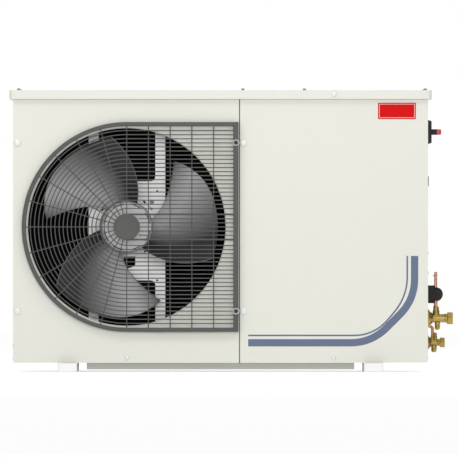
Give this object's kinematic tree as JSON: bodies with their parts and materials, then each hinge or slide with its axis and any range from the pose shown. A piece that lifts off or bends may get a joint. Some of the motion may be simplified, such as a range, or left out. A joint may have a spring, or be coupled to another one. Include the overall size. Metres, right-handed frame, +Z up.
{
  "type": "refrigeration condensing unit",
  "caption": "Outdoor air-cooled refrigeration condensing unit: sheet-steel cabinet with a guarded axial fan, compressor compartment, main switch and brass service valves.",
  "frame": {"origin": "centre of the four anchor slots in the foot rails, on the ground under the unit", "axes": "+X along the width towards the service valves, -Y out of the fan guard (the front), +Z up"},
  "size_m": [1.094, 0.48, 0.699],
  "materials": {
    "cabinet_paint": "cream-white polyester powder coat, fine satin",
    "galvanised": "galvanised sheet, dull spangle",
    "zinc_fastener": "zinc-plated",
    "guard_coating": "mid-grey plastic-coated steel wire, semi-matt",
    "fan_plastic": "grey glass-filled moulding",
    "motor_can": "black enamel",
    "motor_alloy": "die-cast",
    "bearing_steel": "ground steel",
    "coil_aluminium": "mill finish, brazed",
    "coil_fin": "folded fin stock",
    "compressor_black": "gloss black enamel",
    "rubber_black": "matt",
    "foam_black": "closed-cell elastomer foam, matt",
    "cover_black": "moulded, matt",
    "receiver_paint": "black powder coat",
    "drier_paint": "plain green-grey paint",
    "copper": "bright drawn copper tube",
    "brass_valve": "forged and machined brass",
    "terminal_plastic": "light grey moulding",
    "control_plastic": "dark grey moulding",
    "switch_black": "semi-gloss moulding",
    "switch_red": "semi-gloss moulding",
    "gland_black": "polyamide"
  },
  "bodies": {
    "cabinet": {"base_pan": "galvanised", "foot_rail_left": "galvanised", "foot_rail_right": "galvanised", "base_stiffeners": "galvanised", "fan_front_panel": "cabinet_paint", "service_panel": "cabinet_paint", "left_side_panel": "cabinet_paint", "right_side_panel": "cabinet_paint", "rear_panel": "cabinet_paint", "top_lid": "cabinet_paint", "partition": "galvanised", "top_brace": "galvanised", "motor_bracket": "galvanised", "guard_frame": "guard_coating", "guard_rings": "guard_coating", "guard_spokes": "guard_coating", "guard_disc": "guard_coating", "guard_fixings": "zinc_fastener", "fan_stator": "motor_alloy", "fan_bearings": "bearing_steel", "motor_bolts": "zinc_fastener", "condenser_headers": "coil_aluminium", "condenser_tubes": "coil_aluminium", "condenser_fins": "coil_fin", "condenser_frame": "galvanised", "coil_guard": "guard_coating", "compressor_shell": "compressor_black", "compressor_feet": "compressor_black", "compressor_grommets": "rubber_black", "compressor_bolts": "zinc_fastener", "terminal_cover": "cover_black", "liquid_receiver": "receiver_paint", "receiver_strap": "galvanised", "filter_drier": "drier_paint", "sight_glass": "brass_valve", "discharge_line": "copper", "condensate_line": "copper", "drier_line": "copper", "liquid_line": "copper", "suction_line": "copper", "suction_riser": "copper", "suction_insulation": "foam_black", "electrical_box": "galvanised", "electrical_cover": "galvanised", "contactor": "control_plastic", "terminal_block": "terminal_plastic", "run_capacitor": "motor_alloy", "switch_body": "control_plastic", "switch_plate": "switch_black", "cable_glands": "gland_black", "valve_bodies": "brass_valve", "valve_nuts": "brass_valve", "valve_caps": "brass_valve", "screws": "cabinet_paint"},
    "fan": {"fan_impeller": "fan_plastic", "fan_rotor": "motor_can"},
    "main_switch": {"switch_shaft": "switch_black", "switch_handle": "switch_red"},
    "suction_stem": {"suction_valve_stem": "bearing_steel"},
    "liquid_stem": {"liquid_valve_stem": "bearing_steel"}
  },
  "joints": [
    {"name": "fan_spin", "type": "hinge", "parent": "cabinet", "child": "fan", "pos_m": [-0.231, -0.15, 0.3573], "axis": [0, -1, 0], "continuous": true},
    {"name": "main_switch_turn", "type": "hinge", "parent": "cabinet", "child": "main_switch", "pos_m": [0.53, -0.14, 0.5914], "axis": [1, 0, 0], "range_deg": [0, 90]},
    {"name": "suction_stem_turn", "type": "hinge", "parent": "cabinet", "child": "suction_stem", "pos_m": [0.5358, -0.08, 0.1318], "axis": [0, 0, 1], "range_deg": [0, 90]},
    {"name": "liquid_stem_turn", "type": "hinge", "parent": "cabinet", "child": "liquid_stem", "pos_m": [0.5282, 0, 0.0714], "axis": [0, 0, 1], "range_deg": [0, 90]}
  ]
}
